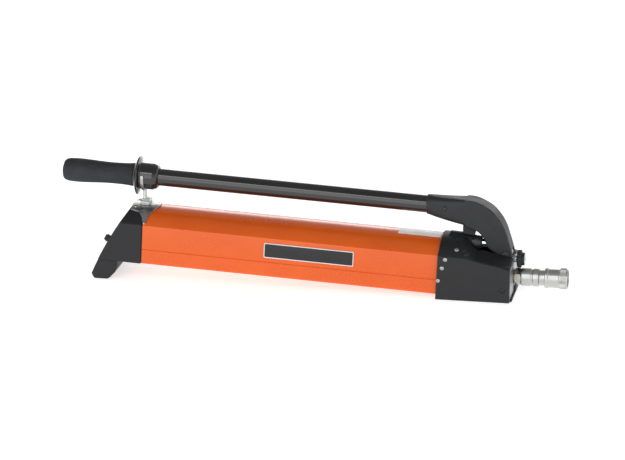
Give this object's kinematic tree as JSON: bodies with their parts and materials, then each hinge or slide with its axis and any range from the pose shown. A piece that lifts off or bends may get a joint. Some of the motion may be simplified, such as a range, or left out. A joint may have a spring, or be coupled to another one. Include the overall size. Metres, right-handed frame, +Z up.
{
  "type": "hydraulic hand pump",
  "caption": "Hydraulic hand pump: oil tank on a rear foot and a pump head, with a hand lever over the tank that drives a plunger, a release knob and a quick coupler.",
  "frame": {"origin": "centre of the whole pump's footprint, on the ground under it", "axes": "+X from the hand grip to the quick coupler, +Z up, +Y to the left when facing along +X"},
  "size_m": [0.7426, 0.1056, 0.1763],
  "materials": {
    "orange_paint": "gloss orange powder coat on extruded aluminium",
    "black_plastic": "fine-textured black moulding",
    "gloss_black": "gloss black enamel",
    "black_casting": "satin black powder coat on a casting",
    "grip_rubber": "matt black rubber",
    "seal_rubber": "nitrile rubber",
    "zinc": "bright zinc plate",
    "steel": "turned and ground steel",
    "chrome": "hard chrome",
    "aluminium": "milled aluminium",
    "brass": "plain brass",
    "label_film": "silver label film"
  },
  "bodies": {
    "pump_body": {"tank_shell": "orange_paint", "rear_gasket": "seal_rubber", "front_gasket": "seal_rubber", "side_panel_near": "gloss_black", "side_panel_far": "gloss_black", "crown_label": "label_film", "tie_rod": "steel", "suction_tube": "steel", "suction_strainer": "brass", "rear_foot_cap": "black_plastic", "filler_seal": "seal_rubber", "rear_band": "zinc", "clip_saddle": "zinc", "handle_clip": "zinc", "clip_screw_1": "zinc", "clip_screw_2": "zinc", "head_cover": "black_plastic", "cover_screw_upper_near": "zinc", "cover_screw_upper_far": "zinc", "cover_screw_middle_near": "zinc", "cover_screw_middle_far": "zinc", "cover_screw_lower_near": "zinc", "cover_screw_lower_far": "zinc", "cover_screw_front_near": "black_casting", "cover_screw_front_far": "black_casting", "crown_screw_near": "zinc", "crown_screw_far": "zinc", "pump_block": "aluminium", "relief_valve_cap": "black_plastic", "suction_valve_plug": "steel", "delivery_valve_plug": "steel", "gland_nut": "black_casting", "rest_buffer": "grip_rubber", "release_gland": "steel", "release_ball": "steel", "outlet_seal": "brass", "outlet_adaptor": "zinc", "coupler_body": "zinc", "sleeve_spring": "steel"},
    "lever": {"lever_arm": "black_casting", "yoke_pin": "steel", "pivot_pin": "steel", "pivot_bush_near": "brass", "pivot_bush_far": "brass", "pivot_plug_near": "black_plastic", "pivot_plug_far": "black_plastic", "handle_tube": "gloss_black", "clamp_screw": "steel", "hand_guard": "gloss_black", "hand_grip": "grip_rubber"},
    "plunger": {"plunger_yoke": "steel", "plunger": "chrome"},
    "release_valve": {"release_knob": "black_plastic", "knob_insert": "zinc", "release_stem": "steel"},
    "filler": {"filler_plug": "steel"},
    "sleeve": {"coupler_sleeve": "zinc"},
    "poppet": {"coupler_poppet": "steel"},
    "suction_check": {"suction_ball": "steel"},
    "delivery_check": {"delivery_ball": "steel"}
  },
  "joints": [
    {"name": "lever_pivot", "type": "hinge", "parent": "pump_body", "child": "lever", "pos_m": [0.2823, 0, 0.06], "axis": [0, 1, 0], "range_deg": [0, 50]},
    {"name": "plunger_slide", "type": "slide", "parent": "pump_body", "child": "plunger", "axis": [1, 0, 0], "range_m": [0, 0.02]},
    {"name": "release_turn", "type": "hinge", "parent": "pump_body", "child": "release_valve", "pos_m": [0.3, 0, 0.052], "axis": [1, 0, 0], "range_deg": [0, 180]},
    {"name": "filler_turn", "type": "hinge", "parent": "pump_body", "child": "filler", "pos_m": [-0.3023, 0, 0.0465], "axis": [-0.8709, 0, 0.4914], "range_deg": [0, 180]},
    {"name": "sleeve_slide", "type": "slide", "parent": "pump_body", "child": "sleeve", "axis": [-1, 0, 0], "range_m": [0, 0.006], "stiffness_N_per_m": 900, "springref_m": -0.006, "deforming": ["sleeve_spring"]},
    {"name": "poppet_slide", "type": "slide", "parent": "pump_body", "child": "poppet", "axis": [-1, 0, 0], "range_m": [0, 0.005], "stiffness_N_per_m": 900, "springref_m": -0.006},
    {"name": "suction_lift", "type": "slide", "parent": "pump_body", "child": "suction_check", "axis": [0, 0, 1], "range_m": [0, 0.003]},
    {"name": "delivery_lift", "type": "slide", "parent": "pump_body", "child": "delivery_check", "axis": [0, 0, 1], "range_m": [0, 0.003]}
  ],
  "couplings": [
    {"joint": "plunger_slide", "follows": "lever_pivot", "m_per_rad": 0.0226}
  ]
}
